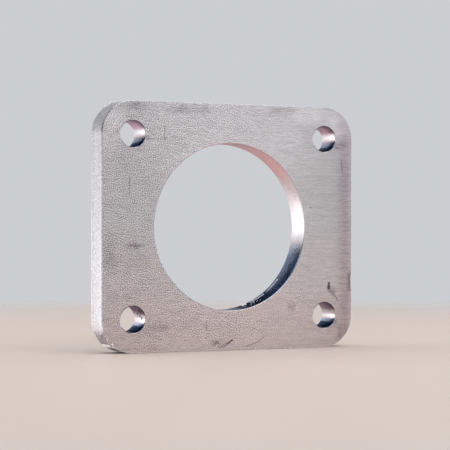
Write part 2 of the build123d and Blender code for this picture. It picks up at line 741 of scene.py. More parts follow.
@dataclass(frozen=True)
class OxideAndPaintedLight:
    """Colours of the walls of the bore and the bolt holes, by height as a share of each radius: painted
    reflections and painted shade, with some oxide colour in them.
    """

    # painted reflection of the warm table on the upper walls, offered as a pink heat tint
    upper: Triple = (1.02, 0.68, 0.66)
    upper_share: Pair = (0.35, 0.85)
    # painted reflection: a slight cool dimming of the bore's upper wall
    veil: Triple = (0.92, 0.93, 0.96)
    veil_share: Triple = (0.34, 0.6, 0.14)
    # painted reflection of a dark blue surrounding on the lower walls, offered as blue oxide
    lower: Triple = (0.88, 1.1, 1.4)
    lower_share: Triple = (-0.78, -0.4, 0.2)
    # painted shade at the bottom of the bore, and at the bottom of the bolt holes towards the front
    bottom: Triple = (0.08, 0.14, 0.24)
    bottom_share: Pair = (-0.8, -0.95)
    # upper walls of the bolt holes, dark at the front and pinkish behind: oxide colour mixed with a painted
    # reflection of the warm table
    hole_front: Triple = (0.28, 0.17, 0.22)
    hole_back: Triple = (0.70, 0.54, 0.62)
    hole_share: Pair = (0.22, 0.62)
    # painted light on the lower walls of the bolt holes
    lift: Triple = (1.3, 1.17, 1.12)
    lift_share: Triple = (-0.5, -0.05, 0.15)
    # painted shade lower down in the bolt holes
    shadow: Triple = (0.26, 0.28, 0.36)
    shadow_share: Triple = (-0.92, -0.62, 0.12)
    uneven: float = 0.35
    uneven_size: Triple = (6.0, 2.5, 6.0)
    back_depth: Pair = (-3.6, 2.3)
    back_drift: float = 3.0
    back_lean: float = 1.7
    front_depth: Pair = (-4.9, -4.6)
    lit_place: Pair = (64.0, 67.0)  # x + z, which only the top right hole reaches
    lit_share: Pair = (-0.76, -0.56)
    lit_depth: Triple = (-1.5, 2.0, 1.5)

    @staticmethod
    def in_hole(x: Field) -> Field:
        """One in the four bolt holes, nought in the bore."""
        return x.graph.math("ABSOLUTE", x).ramp(BORE_RADIUS + 1.0, BORE_RADIUS + 1.1)

    def factor(self, place: Field) -> Field:
        """How the oxide colours, painted reflections and painted shade change the colour of the wall.

        Args:
            place: Object coordinates in mm.

        Returns:
            A colour to multiply the wall's colour with.
        """
        x, y, z = place.split()
        in_hole = self.in_hole(x)
        side = place.graph.math("SIGN", z)
        level = z - side * in_hole * UPPER_LEFT[1]
        uneven = (place / self.uneven_size).noise(3.0, 0.6) - 0.5
        share = level / in_hole.ramp(0.0, 1.0, BORE_RADIUS, HOLE_RADIUS) + uneven * self.uneven
        start, end = self.back_depth
        behind = (y + uneven * self.back_drift).ramp(start, end - side * self.back_lean)
        high = share.ramp(*self.upper_share).mix(WHITE, self.upper)
        hole = behind.mix(self.hole_front, self.hole_back)
        high = (in_hole * share.ramp(*self.hole_share)).mix(high, hole)
        low = share.window(*self.lower_share).mix(WHITE, self.lower)
        base = share.ramp(*self.bottom_share) * (1.0 - in_hole * behind) * y.ramp(*self.front_depth)
        lit = (x + z).ramp(*self.lit_place) * share.ramp(*self.lit_share) * y.window(*self.lit_depth)
        shadow = in_hole * share.window(*self.shadow_share) * (1.0 - lit)
        veil = share.window(*self.veil_share) * (1.0 - in_hole)
        lift = share.window(*self.lift_share) * in_hole
        tint = high * low * base.mix(WHITE, self.bottom) * veil.mix(WHITE, self.veil)
        return tint * shadow.mix(WHITE, self.shadow) * lift.mix(WHITE, self.lift)


@dataclass(frozen=True)
class EdgeMarks:
    """Marks on the outline's wall: a ledge with a painted highlight, a painted dark line of shade at the
    front edge of the upper left corner, zones of painted light and a darker band.
    """

    ledge_angles: Triple = (-133.8, -130.2, 0.6)
    ledge_place: Pair = (-84.0, -82.0)  # x + z, to keep to the outline
    # painted highlight: the ledge's colour is made near white
    ledge_highlight_tone: Triple = (0.98, 0.97, 0.98)
    # painted shade: a dark line at the front edge of the upper left corner
    line_angles: Triple = (136.0, 172.0, 12.0)
    line_place: Pair = (-86.0, -80.0)  # x - z
    line_depth: Pair = (-4.75, -3.9)
    line: float = 0.5
    # painted light: the wall lighter towards the bottom and towards the front
    glow_level: Pair = (15.0, -32.0)
    glow_depth: Pair = (-4.5, 2.0)
    glow: float = 0.2
    # painted highlight along the front edge of the wall, below the top
    rim_depth: Pair = (-4.4, -3.6)
    rim_level: Pair = (30.0, 20.0)
    rim: float = 0.2
    band_depth: Triple = (2.2, 3.5, 0.8)
    band: float = 0.07

    def masks(self, place: Field) -> Tuple[Field, Field]:
        """Draw the marks.

        Args:
            place: Object coordinates in mm.

        Returns:
            Where the ledge is, and a number to add to the shade of the wall.
        """
        x, y, z = place.split()
        angle = place.graph.angle
        ledge = angle(x - LOWER_LEFT[0], z - LOWER_LEFT[1]).window(*self.ledge_angles)
        ledge = ledge * (x + z).fall(*self.ledge_place)
        line = angle(x - UPPER_LEFT[0], z - UPPER_LEFT[1]).window(*self.line_angles)
        line = line * y.fall(*self.line_depth) * (x - z).fall(*self.line_place)
        glow = z.ramp(*self.glow_level) * y.ramp(*self.glow_depth, 1.0, 0.5) * self.glow
        rim = y.fall(*self.rim_depth) * z.ramp(*self.rim_level) * self.rim
        band = y.window(*self.band_depth) * self.band
        return ledge, glow + rim - band - line * self.line


@dataclass(frozen=True)
class CutFinish:
    """Laser cut wall: fine striations across the thickness and bands along the cut."""

    name: str
    tone: Triple
    scorch_tone: Triple
    roughness: float
    grit: float
    streak: float
    striation: float
    exit_roughness: float = 0.0
    hole_roughness: float = 0.13
    scorch_centre: Pair = (-49.2, -39.5)
    scorch_reach: float = 3.4
    scorch_drift: float = 3.0
    scorch_size: Triple = (0.8, 1.1, 0.8)
    scorch_levels: Pair = (0.41, 0.55)
    exit_depth: Pair = (-4.0, 4.5)
    hole_depth: Pair = (-4.2, -0.5)
    smooth_level: Pair = (-21.0, -27.0)
    cloud: float = 0.12
    grit_rough: float = 0.06
    band_rough: float = 0.16
    cloud_rough: float = 0.1
    scorch_polish: float = 0.1
    ledge_polish: float = 0.2
    grit_relief: float = 0.005
    line_relief: float = 0.008
    band_relief: float = 0.01
    grit_size: Triple = (0.55, 0.55, 0.55)
    line_size: Triple = (0.3, 3.2, 0.3)
    band_size: Triple = (9.0, 0.55, 9.0)
    cloud_size: float = 3.5
    # dark spots: painted shade in pits, and dark scorch spots
    scorch_and_pit_shade: Tuple[Tuple[Triple, float, float], ...] = ()  # centre, reach, strength
    scorch_and_pit_shade_tone: Triple = (0.12, 0.07, 0.10)
    dark_spot_drift: float = 0.3
    edge_tint: Triple = WHITE
    # oxide colours with painted reflections and painted shade, for the bore and the bolt holes
    oxide_and_painted_light: Optional[OxideAndPaintedLight] = None
    edge_marks: Optional[EdgeMarks] = None

    def material(self) -> bpy.types.Material:
        """Make the material.

        Returns:
            The material, with the oxide colours and painted reflections and shade of the bore and holes,
            and the edge's marks with their painted light, where the finish has them.
        """
        material, graph, shader = new_material(self.name)
        place = place_in_mm(graph)
        x, y, z = place.split()
        exit_side = y.ramp(*self.exit_depth)
        grit = (place / self.grit_size).specks()
        lines = (place / self.line_size).noise(2.0, 0.55) - 0.5
        bands = (place / self.band_size).noise(3.0, 0.6) - 0.5
        cloud = (place / self.cloud_size + (5.0, 2.0, 9.0)).noise(3.0, 0.6) - 0.5
        away = graph.xyz(x, 0.0, z).distance((self.scorch_centre[0], 0.0, self.scorch_centre[1]))
        scorched = (away + cloud * self.scorch_drift).fall(self.scorch_reach * 0.5, self.scorch_reach)
        patches = (place / self.scorch_size + (1.0, 7.0, 2.0)).noise(3.0, 0.7)
        scorched = scorched * patches.ramp(*self.scorch_levels)
        shade = grit * self.grit + lines * (exit_side * 0.5 + 0.5) * self.striation * 0.5
        shade = shade + bands * self.streak + cloud * self.cloud
        rough = grit * self.grit_rough + bands * self.band_rough + cloud * self.cloud_rough
        rough = rough + exit_side * self.exit_roughness + self.roughness - scorched * self.scorch_polish
        if self.edge_marks:
            ledge, lift = self.edge_marks.masks(place)
            # painted light and painted shade of the edge marks
            shade = shade + lift
            rough = rough - ledge * self.ledge_polish
        colour = scorched.mix((shade + 1.0) * self.tone, self.scorch_tone)
        if self.edge_marks:
            # painted highlight on the ledge
            colour = ledge.mix(colour, self.edge_marks.ledge_highlight_tone)
        if self.oxide_and_painted_light:
            # oxide colours with painted reflections and painted shade
            colour = colour * self.oxide_and_painted_light.factor(place)
            in_hole = self.oxide_and_painted_light.in_hole(x)
            rough = rough + in_hole * y.ramp(*self.hole_depth) * self.hole_roughness
            smooth = z.ramp(*self.smooth_level) * (1.0 - in_hole)
            rough = rough - smooth * exit_side * self.exit_roughness
        # dark spots: painted shade in the pits, and dark scorch spots
        for centre, reach, strength in self.scorch_and_pit_shade:
            darkened = (place.distance(centre) + grit * self.dark_spot_drift).fall(reach * 0.3, reach, strength)
            colour = darkened.mix(colour, self.scorch_and_pit_shade_tone)
        relief = grit * self.grit_relief * self.grit + bands * self.band_relief * self.streak
        relief = relief + lines * (exit_side + 0.4) * self.line_relief * self.striation
        coat(shader, colour, rough, relief)
        shader.inputs["Specular Tint"].default_value = (*self.edge_tint, 1.0)
        return material


@dataclass(frozen=True)
class FloorFinish:
    """Pale warm table top that fades into the backdrop, in metres."""

    name: str = "pale_table"
    tone: Triple = (0.80, 0.68, 0.60)
    roughness: float = 0.45
    grain_size: Triple = (0.05, 0.004, 1.0)
    fade: Pair = (0.24, 0.52)

    def material(self) -> bpy.types.Material:
        """Make the material.

        Returns:
            The material.
        """
        material, graph, shader = new_material(self.name)
        x, y, _ = graph.make("ShaderNodeTexCoord", output="Object").split()
        flat = graph.xyz(x, y)
        grain = (flat / self.grain_size).noise(3.0, 0.55) - 0.5
        graph.feed(shader.inputs["Base Color"], (grain * 0.05 + 1.0) * self.tone)
        graph.feed(shader.inputs["Roughness"], grain * 0.1 + self.roughness)
        clear = graph.add("ShaderNodeBsdfTransparent").outputs[0]
        inputs = {0: flat.length().ramp(*self.fade), 1: shader.outputs[0], 2: clear}
        blend = graph.make("ShaderNodeMixShader", inputs)
        sink = next(n for n in material.node_tree.nodes if n.type == "OUTPUT_MATERIAL")
        graph.feed(sink.inputs["Surface"], blend)
        return material


class CutWall:
    """The geometry group that runs a rounded wall round a closed path."""

    COUNTS = ("Points", "Rows", "Rounding Rows")
    NUMBERS = ("Thickness", "Front Break", "Back Break", "Free Side", "Kind", "Crowded At", "Crowding")

    def build(self) -> bpy.types.NodeTree:
        """Make the group, which works about the origin with the front face at the top.

        Returns:
            The group's tree.
        """
        inputs = {"Path": SocketKind.GEOMETRY}
        inputs.update(dict.fromkeys(self.COUNTS, SocketKind.COUNT))
        inputs.update(dict.fromkeys(self.NUMBERS, SocketKind.NUMBER))
        group = GroupGraph("cut_wall", inputs, {"Wall": SocketKind.GEOMETRY})
        points, rows = group.given("Points", "Rows")
        last_row = rows - 1.0
        grid = group.make("GeometryNodeMeshGrid", {0: 1.0, 1: 1.0, 2: points + 1.0, 3: rows})
        across, along, _ = group.position().split()
        mesh = group.store(grid, "row", group.math("ROUND", (along + 0.5) * last_row))
        mesh = group.store(mesh, "share", self.crowded(group, across + 0.5))
        mesh = group.store(mesh, "kind", group.given("Kind"), domain="FACE")
        inputs = {"Curves": group.given("Path"), "Factor": group.attribute("share")}
        sample = group.add("GeometryNodeSampleCurve", inputs, mode="FACTOR", data_type="FLOAT")
        spot, tangent = (Field(group, sample.outputs[name]) for name in ("Position", "Tangent"))
        side = group.vector("CROSS_PRODUCT", tangent, (0.0, 0.0, 1.0))
        sign = group.math("SIGN", side.dot(spot))
        free = group.vector("NORMALIZE", side) * (sign * group.given("Free Side"))
        mesh = group.store(mesh, "free", free, "FLOAT_VECTOR")
        mesh = group.store(mesh, "along", tangent, "FLOAT_VECTOR")
        mesh = group.make("GeometryNodeSetPosition", {"Geometry": mesh, "Position": spot})
        return self.bend_rows(group, mesh, last_row)

    @staticmethod
    def crowded(group: GroupGraph, share: Field) -> Field:
        """Draw the points together towards one place on the path.

        Args:
            group: the group.
            share: even steps from nought to one.

        Returns:
            The steps, closer together round the place that the inputs name.
        """
        middle, crowding = group.given("Crowded At", "Crowding")
        shift = group.math("SINE", (share - middle) * math.tau) * crowding / math.tau
        return group.math("WRAP", share - shift, 1.0, 0.0)

    @staticmethod
    def bend_rows(group: GroupGraph, mesh: Field, last_row: Field) -> bpy.types.NodeTree:
        """Spread the rows over the thickness, round both edges, and close the group.

        Args:
            group: the group.
            mesh: all rows, still on the path.
            last_row: the number of the last row.

        Returns:
            The finished group.
        """
        row = group.attribute("row")
        names = ("Rounding Rows", "Front Break", "Back Break", "Thickness")
        rounding, front, back, thickness = group.given(*names)
        quarter = math.pi / 2
        front_turn = (row / rounding).ramp(0.0, 1.0, 0.0, quarter, smooth=False)
        back_turn = ((last_row - row) / rounding).ramp(0.0, 1.0, 0.0, quarter, smooth=False)
        front_sine, back_sine = group.math("SINE", front_turn), group.math("SINE", back_turn)
        middle = ((row - rounding) / (last_row - rounding * 2.0)).ramp(0.0, 1.0, smooth=False)
        depth = front * (1.0 - group.math("COSINE", front_turn))
        depth = depth + (thickness - front - back) * middle + back * group.math("COSINE", back_turn)
        mesh = group.store(mesh, "depth", depth)
        mesh = group.store(mesh, "bare", front_sine * back_sine)
        mesh = group.store(mesh, "rows_to_back", last_row - row)
        mesh = group.store(mesh, "inset", front * (1.0 - front_sine) + back * (1.0 - back_sine))
        offset = group.attribute("free", "FLOAT_VECTOR") * (group.attribute("inset") * -1.0)
        lift = group.xyz(0.0, 0.0, thickness * 0.5 - group.attribute("depth"))
        return group.give("Wall", group.move(mesh, offset + lift))


@dataclass(frozen=True)
class Blemish:
    """A small bump or pit on a cut wall, by its angle about a circle's centre."""

    centre: Pair
    radius: float
    angle: float
    depth: float
    reach: float
    height: float


@dataclass(frozen=True)
class CutMarks:
    """What the laser left: where the cuts began and ended, a blunted edge, bumps and pits."""

    ridge_start: float = -147.0
    ridge_shoulder: float = -136.0
    ridge_crest: float = -130.5
    ridge_end: float = -125.0
    ridge_ramp: float = 0.28
    ridge_bead: float = 0.5
    ridge_bead_width: float = 3.0
    ridge_gap: float = 0.3
    nib_start: float = -138.2
    nib_tip: float = -136.6
    nib_end: float = -136.1
    nib_height: float = 0.88
    nib_fade: float = 0.35
    dent: Pair = (-23.2, -17.9)
    dent_break: float = 0.16
    pit_place: Pair = (-47.2, -42.0)
    pit_reach: float = 0.8
    pit_break: float = 0.45
    uneven_size: float = 2.6
    uneven: Pair = (0.9, 0.55)
    dent_uneven: Pair = (0.7, 0.65)
    dent_soft: float = 0.5
    bore_reach: Pair = (33.0, 34.0)
    corner_reach: Pair = (10.0, 11.0)
    bead_size: float = 0.9
    bead_uneven: Pair = (0.3, 0.85)
    blemishes: Tuple[Blemish, ...] = (
        Blemish(LOWER_LEFT, HOLE_RADIUS, 4.0, 3.2, 0.9, -0.3),
        Blemish(LOWER_LEFT, HOLE_RADIUS, 19.0, 2.5, 0.9, -0.3),
        Blemish(LOWER_LEFT, HOLE_RADIUS, 26.0, 6.3, 1.1, 0.25),
        Blemish(LOWER_LEFT, HOLE_RADIUS, 38.0, 4.2, 1.0, 0.2),
        Blemish(LOWER_LEFT, HOLE_RADIUS, -42.0, 7.5, 2.8, -0.15),
        Blemish(LOWER_RIGHT, HOLE_RADIUS, 52.0, 2.6, 0.9, -0.1),
        Blemish(BORE, BORE_RADIUS, -72.0, 8.3, 0.8, 0.12),
        Blemish(BORE, BORE_RADIUS, -64.0, 5.0, 0.9, 0.07),
        Blemish(BORE, BORE_RADIUS, -54.0, 8.0, 0.9, 0.08),
        Blemish(BORE, BORE_RADIUS, -48.0, 7.9, 1.1, 0.08),
    )

    def front_break(self, group: GroupGraph, plain: Field, half_width: Field) -> Field:
        """The rounding of the outline's front edge, larger at the dent and at the pit.

        Args:
            group: the plate's tree.
            plain: the rounding elsewhere.
            half_width: half of the plate's width.

        Returns:
            The rounding at each place on the outline.
        """
        spot = group.position()
        x, y, _ = spot.split()
        uneven = (spot / (self.uneven_size * MM)).noise(2.0)
        dent = y.window(self.dent[0] * MM, self.dent[1] * MM, self.dent_soft * MM)
        dent = dent * x.ramp(half_width - 0.5 * MM, half_width - 0.1 * MM)
        away = spot.distance((self.pit_place[0] * MM, self.pit_place[1] * MM, 0.0))
        gain, floor = self.dent_uneven
        extra = dent * self.dent_break * (uneven * gain + floor)
        extra = extra + away.fall(0.0, self.pit_reach * MM, self.pit_break)
        gain, floor = self.uneven
        return plain * (uneven * gain + floor) + extra * MM

    @staticmethod
    def polar(group: GroupGraph, x: Field, y: Field) -> Tuple[Field, Field]:
        """How far a place is from the origin, and its angle in degrees."""
        return group.math("SQRT", x * x + y * y), group.angle(x, y)

    def nib(self, group: GroupGraph, spot: Field, depth_share: Field) -> Field:
        """How far the nib stands into the bore.

        Args:
            group: the plate's tree.
            spot: each point's place.
            depth_share: nought at the front face, one at the back.

        Returns:
            The height in metres.
        """
        x, y, _ = spot.split()
        reach, angle = self.polar(group, x, y)
        rise = angle.ramp(self.nib_start, self.nib_tip, smooth=False)
        fall = angle.ramp(self.nib_tip, self.nib_end, 1.0, 0.0, smooth=False)
        on_bore = reach.fall(*(radius * MM for radius in self.bore_reach))
        height = self.nib_height * (1.0 - depth_share * self.nib_fade)
        return rise * fall * on_bore * height * MM

    def ridge(self, group: GroupGraph, spot: Field, depth: Field) -> Field:
        """How far the ridge stands out of the lower left corner.

        Args:
            group: the plate's tree.
            spot: each point's place.
            depth: how far behind the front face it is.

        Returns:
            The height in metres.
        """
        x, y, _ = spot.split()
        x, y = x - LOWER_LEFT[0] * MM, y - LOWER_LEFT[1] * MM
        reach, angle = self.polar(group, x, y)
        on_corner = reach.ramp(*(radius * MM for radius in self.corner_reach))
        ramp = angle.ramp(self.ridge_start, self.ridge_shoulder, smooth=False) * self.ridge_ramp
        bead_start = self.ridge_crest - self.ridge_bead_width
        bead = angle.ramp(bead_start, self.ridge_crest, smooth=False) * self.ridge_bead
        after = angle.ramp(self.ridge_crest, self.ridge_end, 1.0, 0.0, smooth=False)
        gain, floor = self.bead_uneven
        rough = (group.xyz(x, y, depth) / (self.bead_size * MM)).noise(2.0) * gain + floor
        front = depth.ramp(0.0, self.ridge_gap * MM)
        far = group.given("Thickness") - self.ridge_gap * MM
        back = depth.fall(far - 0.3 * MM, far)
        return (ramp + bead * rough) * after * on_corner * front * back * MM

    def wall_relief(self, group: GroupGraph, spot: Field) -> Field:
        """Add up the small bumps and pits.

        Args:
            group: the plate's tree.
            spot: each point's place.

        Returns:
            The height out of the wall in metres.
        """
        total: Operand = 0.0
        for blemish in self.blemishes:
            turn = math.radians(blemish.angle)
            centre = group.xyz(
                (blemish.centre[0] + blemish.radius * math.cos(turn)) * MM,
                (blemish.centre[1] + blemish.radius * math.sin(turn)) * MM,
                group.given("Thickness") * 0.5 - blemish.depth * MM,
            )
            total = total + spot.distance(centre).fall(0.0, blemish.reach * MM, blemish.height * MM)
        return total


@dataclass
class FlangePlate:
    """The whole flange: one plate with its bore, bolt holes, broken edges and cut walls, in metres."""

    width: float
    height: float
    thickness: float
    bore_radius: float
    hole_radius: float
    hole_spacing: Pair
    corner_radius: float = 12.0 * MM
    corner_points: int = 64
    circle_points: int = 720
    outline_break: float = 0.3 * MM
    bore_break: float = 0.25 * MM
    hole_break: float = 0.25 * MM
    pitch: float = 0.2 * MM
    bore_pitch: float = 0.18 * MM
    outline_rows: int = 20
    bore_rows: int = 27
    hole_rows: int = 20
    rounding_rows: int = 3
    weld: float = 0.001 * MM
    striation_pitch: float = 0.75 * MM
    striation_depth: float = 0.014 * MM
    striation_drag: float = 1.3 * MM
    striation_stretch: float = 7.0
    striation_growth: Pair = (0.8, 0.3)
    band_size: Pair = (13.0 * MM, 1.7 * MM)
    band_depth: float = 0.03 * MM
    crowds: Mapping[str, Pair] = field(
        default_factory=lambda: {"Outline": (0.529, 0.6), "Bore": (0.622, 0.5)}
    )
    marks: CutMarks = field(default_factory=CutMarks)
    face: FaceFinish = field(default_factory=FaceFinish)
    outer: CutFinish = CutFinish(
        name="laser_cut_outline",
        tone=(0.60, 0.59, 0.62),
        scorch_tone=(0.42, 0.38, 0.46),
        roughness=0.55,
        grit=0.5,
        streak=0.12,
        striation=0.6,
        # the first spot is painted shade in the pit at the front edge; the rest are dark scorch spots round
        # the lower left corner
        scorch_and_pit_shade=(
            ((-47.3, -4.8, -42.2), 0.6, 1.0),
            ((-49.57, -2.3, -38.68), 1.2, 0.62),
            ((-49.2, -3.81, -39.39), 0.9, 0.6),
            ((-49.2, 3.2, -39.39), 0.7, 0.45),
            ((-48.96, -0.81, -39.92), 1.0, 0.5),
            ((-48.17, 1.67, -41.29), 0.7, 0.4),
            ((-48.16, -1.76, -41.3), 0.7, 0.25),
            ((-49.51, 0.17, -38.79), 0.9, 0.3),
        ),
        edge_marks=EdgeMarks(),
    )
    inner: CutFinish = CutFinish(
        name="laser_cut_bore",
        tone=(0.63, 0.60, 0.61),
        scorch_tone=(0.24, 0.19, 0.24),
        roughness=0.2,
        grit=0.1,
        streak=0.5,
        striation=0.25,
        exit_roughness=0.16,
        scorch_centre=(-36.5, -29.5),
        scorch_reach=3.6,
        grit_size=(0.5, 1.0, 0.5),
        # painted shade in the pits of the lower left bolt hole
        scorch_and_pit_shade=(
            ((-34.53, -2.65, -31.38), 0.75, 1.0),
            ((-34.42, -1.30, -31.73), 0.55, 1.0),
            ((-34.34, -0.05, -32.08), 0.6, 1.0),
            ((-34.29, -1.61, -32.40), 0.65, 1.0),
            ((-34.25, -1.77, -32.96), 0.75, 1.0),
        ),
        # oxide colours with painted reflections and painted shade in the bore and the bolt holes
        oxide_and_painted_light=OxideAndPaintedLight(),
        edge_tint=(0.60, 0.62, 0.72),
    )

    OUTLINE_KIND = 1.0
    INNER_KIND = 2.0
    GIVEN = (
        "width", "height", "thickness", "corner_radius", "bore_radius", "hole_radius", "outline_break",
        "bore_break", "hole_break", "outline_rows", "bore_rows", "hole_rows", "rounding_rows",
        "striation_pitch", "striation_depth", "striation_drag", "band_depth",
    )

    @classmethod
    def from_frame(cls, record: Mapping[str, Any]) -> "FlangePlate":
        """Read the plate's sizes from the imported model.

        Args:
            record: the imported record.

        Returns:
            The plate.
        """
        low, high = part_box(PLATE_NODE)
        mounts = {mount["name"]: mount["dims"] for mount in record["mounts"]}
        holes = mounts["bolt_holes"]
        return cls(
            width=high.x - low.x,
            height=high.z - low.z,
            thickness=high.y - low.y,
            bore_radius=mounts["bore"]["r_mm"] * MM,
            hole_radius=holes["hole_r_mm"] * MM,
            hole_spacing=(holes["spacing_x_mm"] * MM, holes["spacing_y_mm"] * MM),
        )

    def inputs(self) -> Dict[str, Any]:
        """Name the tree's inputs and make the materials.

        Returns:
            What each input gets, by its name.
        """
        straight = 2 * (self.width + self.height - 4 * self.corner_radius)
        outline = straight + math.tau * self.corner_radius
        return {
            **{name.replace("_", " ").title(): getattr(self, name) for name in self.GIVEN},
            "Hole Spacing X": self.hole_spacing[0],
            "Hole Spacing Z": self.hole_spacing[1],
            "Outline Points": round(outline / self.pitch),
            "Bore Points": round(math.tau * self.bore_radius / self.bore_pitch),
            "Hole Points": round(math.tau * self.hole_radius / self.pitch),
            "Face Material": self.face.material(self.width * TO_MM, self.height * TO_MM),
            "Outline Material": self.outer.material(),
            "Inner Material": self.inner.material(),
        }

    def build(self) -> bpy.types.Object:
        """Make the plate and set it in place of the CAD node.

        Returns:
            The piece.
        """
        values = self.inputs()
        group = GroupGraph("flange_plate_tree", SocketKind.of(values), {"Plate": SocketKind.GEOMETRY})
        walls = self.roughened(group, self.walls(group))
        shell = group.join([walls, *self.faces(group, walls)])
        welded = group.make("GeometryNodeMergeByDistance", {"Geometry": shell, "Distance": self.weld})
        face, outer, inner = group.given("Face Material", "Outline Material", "Inner Material")
        whole = group.paint(group.realize(group.stand(welded)), face)
        kind = group.attribute("kind")
        on_outline = group.compare("GREATER_THAN", kind, self.OUTLINE_KIND / 2)
        whole = group.paint(whole, outer, on_outline)
        inside = group.compare("GREATER_THAN", kind, (self.OUTLINE_KIND + self.INNER_KIND) / 2)
        group.give("Plate", group.paint(whole, inner, inside))
        plate = grown_mesh("steel_plate", group, values)
        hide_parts(PLATE_NODE)
        return plate

    def walls(self, group: GroupGraph) -> Field:
        """The walls of the outline, the bore and the four bolt holes, still smooth.

        Args:
            group: the plate's tree, which works with the front face at the top.

        Returns:
            The walls.
        """
        cut_wall = CutWall().build()
        width, height, corner = group.given("Width", "Height", "Corner Radius")
        inputs = {"Width": width, "Height": height}
        square = group.make("GeometryNodeCurvePrimitiveQuadrilateral", inputs)
        inputs = {"Curve": square, "Count": self.corner_points, "Radius": corner}
        rings = {"Outline": group.make("GeometryNodeFilletCurve", inputs, mode="POLY")}
        for label in ("Bore", "Hole"):
            inputs = {"Resolution": self.circle_points, "Radius": group.given(f"{label} Radius")}
            rings[label] = group.make("GeometryNodeCurvePrimitiveCircle", inputs)
        runs = []
        for label, path in rings.items():
            outer = path is rings["Outline"]
            plain, points, rows = group.given(f"{label} Break", f"{label} Points", f"{label} Rows")
            crowded_at, crowding = self.crowds.get(label, (0.0, 0.0))
            values = {
                "Path": path,
                "Points": points,
                "Rows": rows,
                "Rounding Rows": group.given("Rounding Rows"),
                "Thickness": group.given("Thickness"),
                "Front Break": self.marks.front_break(group, plain, width * 0.5) if outer else plain,
                "Back Break": plain,
                "Free Side": 1.0 if outer else -1.0,
                "Kind": self.OUTLINE_KIND if outer else self.INNER_KIND,
                "Crowded At": crowded_at,
                "Crowding": crowding,
            }
            runs.append(group.make("GeometryNodeGroup", values, node_tree=cut_wall))
        across, along = group.given("Hole Spacing X", "Hole Spacing Z")
        corners = group.make("GeometryNodeMeshGrid", {0: across, 1: along, 2: 2, 3: 2})
        hole = runs.pop()
        holes = group.make("GeometryNodeInstanceOnPoints", {"Points": corners, "Instance": hole})
        return group.join([*runs, group.realize(holes)])

    def roughened(self, group: GroupGraph, walls: Field) -> Field:
        """Cut the striations, bands, nib, ridge and pits into the walls.

        Args:
            group: the plate's tree.
            walls: the smooth walls.

        Returns:
            The finished walls, shaded smooth.
        """
        spot = group.position()
        free, along = group.attribute("free", "FLOAT_VECTOR"), group.attribute("along", "FLOAT_VECTOR")
        depth, bare = group.attribute("depth"), group.attribute("bare")
        names = ("Thickness", "Striation Pitch", "Striation Depth", "Striation Drag", "Band Depth")
        thickness, pitch, line_depth, drag, band_depth = group.given(*names)
        share = depth / thickness
        x, y, _ = (spot + along * (share * share * drag)).split()
        lines = group.xyz(x / pitch, y / pitch, depth / (pitch * self.striation_stretch)).noise(2.0)
        gain, floor = self.striation_growth
        cut = lines * line_depth * (share * gain + floor)
        x, y, _ = spot.split()
        length, breadth = self.band_size
        bands = group.xyz(x / length, y / length, depth / breadth).noise(2.0, 0.6)
        cut = (cut + bands * band_depth) * bare
        proud = self.marks.nib(group, spot, share) + self.marks.ridge(group, spot, depth)
        proud = proud + self.marks.wall_relief(group, spot) * bare
        return group.smooth(group.move(walls, free * (proud - cut)))

    @staticmethod
    def faces(group: GroupGraph, walls: Field) -> List[Field]:
        """The two flat faces, filled between the rims of the walls.

        Args:
            group: the plate's tree.
            walls: the finished walls.

        Returns:
            The front face and the back face.
        """
        half = group.given("Thickness") * 0.5
        faces = []
        for rows_away, level in (("row", half), ("rows_to_back", half * -1.0)):
            on_rim = group.compare("LESS_THAN", group.attribute(rows_away), 0.25)
            rim = group.make("GeometryNodeMeshToCurve", {"Mesh": walls, "Selection": on_rim})
            fill = group.make("GeometryNodeFillCurve", {"Curve": rim}, mode="TRIANGLES")
            inputs = {"Geometry": group.smooth(fill, False), "Translation": group.xyz(0.0, 0.0, level)}
            faces.append(group.make("GeometryNodeTransform", inputs))
        return faces


@dataclass(frozen=True)
class BeadRun:
    """Beads along an arc, with their greatest scatter and how far they are stretched along it."""

    centre: Pair
    radius: float
    start: float
    end: float
    count: int
    size: Pair
    depth: float
    scatter: float = 0.12
    stretch: float = 1.0


